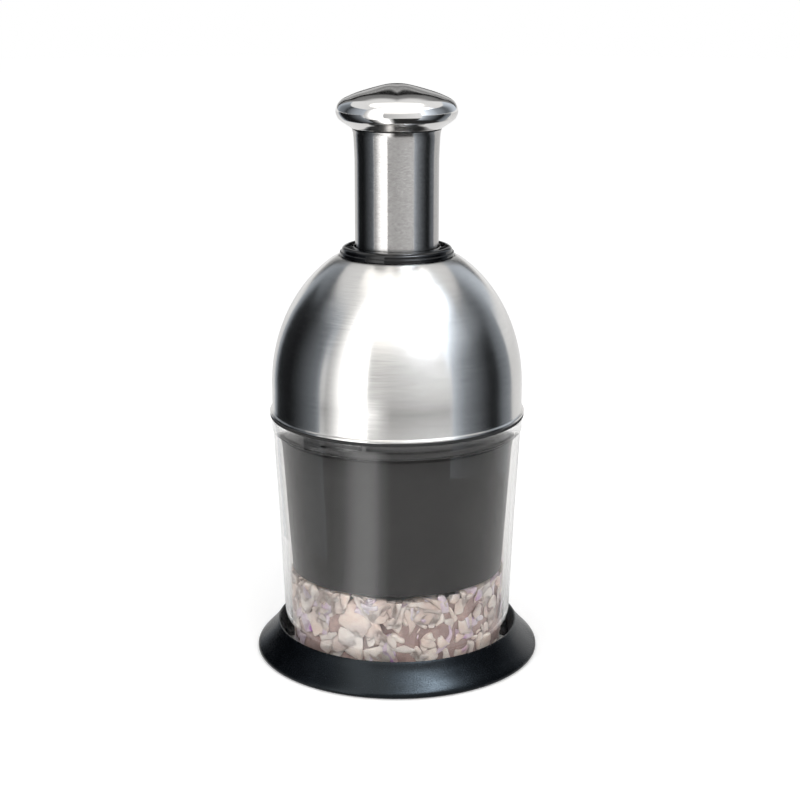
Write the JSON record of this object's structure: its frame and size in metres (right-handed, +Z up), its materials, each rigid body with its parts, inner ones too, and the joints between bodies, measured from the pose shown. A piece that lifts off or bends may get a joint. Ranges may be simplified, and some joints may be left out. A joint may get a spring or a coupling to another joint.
{
  "type": "vegetable chopper",
  "caption": "Press-down kitchen chopper: clear cup on a base cap, domed metal housing, sprung plunger with palm knob, folded blade that turns a little with each stroke.",
  "frame": {"origin": "centre of the base's underside, on the plane it stands on", "axes": "+Z up along the plunger's axis, towards the palm knob; -Y faces the picture's viewer"},
  "size_m": [0.1186, 0.1186, 0.2365],
  "materials": {
    "base_black": "satin soft-touch black plastic",
    "rubber_black": "matt black rubber",
    "board_white": "off-white cutting plastic",
    "clear_plastic": "clear moulded plastic",
    "dome_steel": "stainless steel brushed round its axis",
    "gloss_black": "glossy black plastic",
    "plastic_black": "plain black moulding",
    "acetal_natural": "natural white acetal",
    "hardware_steel": "plain steel hardware",
    "sleeve_dark": "satin dark grey-brown plastic",
    "tube_steel": "finely brushed stainless steel",
    "knob_steel": "polished stainless steel",
    "blade_steel": "bright stainless blade strip"
  },
  "bodies": {
    "base": {"base_cap": "base_black", "base_grip_ring": "rubber_black", "cup_seal": "rubber_black", "chopping_board": "board_white"},
    "cup": {"clear_cup": "clear_plastic"},
    "housing": {"rim_gasket": "rubber_black", "dome_shell": "dome_steel", "housing_liner": "gloss_black", "guide_collar": "gloss_black", "guide_nut": "plastic_black", "guide_bush": "acetal_natural", "index_ring": "acetal_natural", "index_retainer": "hardware_steel", "retainer_screw_1": "hardware_steel", "retainer_screw_2": "hardware_steel", "retainer_screw_3": "hardware_steel", "spring_seat_lower": "hardware_steel", "bumper_ring": "rubber_black", "return_spring": "hardware_steel"},
    "sleeve": {"wiper_sleeve": "sleeve_dark", "wiper_plate": "sleeve_dark"},
    "plunger": {"plunger_tube": "tube_steel", "knob_shell": "knob_steel", "knob_core": "plastic_black", "core_screw": "hardware_steel", "plunger_core": "plastic_black", "shaft_pin": "hardware_steel", "drive_shaft": "hardware_steel", "spring_seat_upper": "hardware_steel", "thrust_washer_upper": "hardware_steel", "thrust_washer_lower": "hardware_steel", "shaft_nut": "hardware_steel"},
    "blade_head": {"spiral_hub": "acetal_natural", "blade_carrier": "plastic_black", "zigzag_blade": "blade_steel", "carrier_rivet_1": "hardware_steel", "carrier_rivet_2": "hardware_steel"}
  },
  "joints": [
    {"name": "cup_lift", "type": "slide", "parent": "base", "child": "cup", "axis": [0, 0, 1], "range_m": [0, 0.03]},
    {"name": "dome_twist", "type": "hinge", "parent": "cup", "child": "housing", "pos_m": [0, 0, 0.1035], "axis": [0, 0, 1], "range_deg": [0, 22]},
    {"name": "plunger_press", "type": "slide", "parent": "housing", "child": "plunger", "axis": [0, 0, -1], "range_m": [0, 0.031], "stiffness_N_per_m": 600, "springref_m": -0.02, "deforming": ["return_spring"]},
    {"name": "blade_index", "type": "hinge", "parent": "plunger", "child": "blade_head", "pos_m": [0, 0, 0.0779], "axis": [0, 0, 1], "range_deg": [0, 36.2]},
    {"name": "sleeve_turn", "type": "hinge", "parent": "housing", "child": "sleeve", "pos_m": [0, 0, 0.0958], "axis": [0, 0, 1], "range_deg": [0, 36.2]}
  ],
  "couplings": [
    {"joint": "blade_index", "follows": "plunger_press", "rad_per_m": 20.268},
    {"joint": "sleeve_turn", "follows": "plunger_press", "rad_per_m": 20.268}
  ]
}
